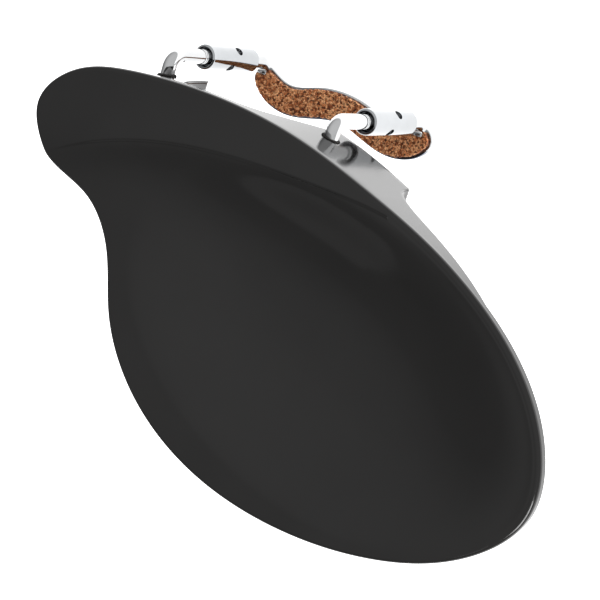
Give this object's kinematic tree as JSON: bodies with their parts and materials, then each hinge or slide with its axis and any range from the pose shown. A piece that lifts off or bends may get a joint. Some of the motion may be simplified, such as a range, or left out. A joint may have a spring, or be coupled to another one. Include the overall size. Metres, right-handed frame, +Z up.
{
  "type": "violin chin rest",
  "caption": "Sculpted oval chin rest cup with a side arm, held by a screw clamp of turnbuckle barrels and a cork-lined bracket.",
  "frame": {"origin": "midway between the two upper rods where they leave the feet, on the plane the top pads press on", "axes": "+X towards the arm that crosses the tailpiece, -X towards the cup, +Y away from the player, +Z up"},
  "size_m": [0.1244, 0.0807, 0.0554],
  "materials": {
    "plate": "black, satin-gloss, finely polished",
    "pad_cork": "fine agglomerated cork",
    "rods": "bright plated, threaded",
    "barrels": "bright plated, polished",
    "posts": "bright plated, threaded",
    "bracket": "bright plated",
    "bracket_cork": "coarse agglomerated cork"
  },
  "bodies": {
    "rest": {"chin_plate": "plate", "arm_side_pad": "pad_cork", "cup_side_pad": "pad_cork", "arm_side_rod": "rods", "cup_side_rod": "rods"},
    "clamp_bracket": {"bracket_plate": "bracket", "bracket_cork": "bracket_cork", "arm_side_post": "posts", "cup_side_post": "posts"},
    "arm_side_barrel": {"arm_side_barrel": "barrels"},
    "cup_side_barrel": {"cup_side_barrel": "barrels"}
  },
  "joints": [
    {"name": "bracket_travel", "type": "slide", "parent": "rest", "child": "clamp_bracket", "axis": [0, 0, -1], "range_m": [0, 0.013]},
    {"name": "arm_side_barrel_travel", "type": "slide", "parent": "rest", "child": "arm_side_barrel", "axis": [0, 0, -1], "range_m": [0, 0.0065]},
    {"name": "cup_side_barrel_travel", "type": "slide", "parent": "rest", "child": "cup_side_barrel", "axis": [0, 0, -1], "range_m": [0, 0.0065]}
  ],
  "couplings": [
    {"joint": "arm_side_barrel_travel", "follows": "bracket_travel", "ratio": 0.5},
    {"joint": "cup_side_barrel_travel", "follows": "bracket_travel", "ratio": 0.5}
  ]
}
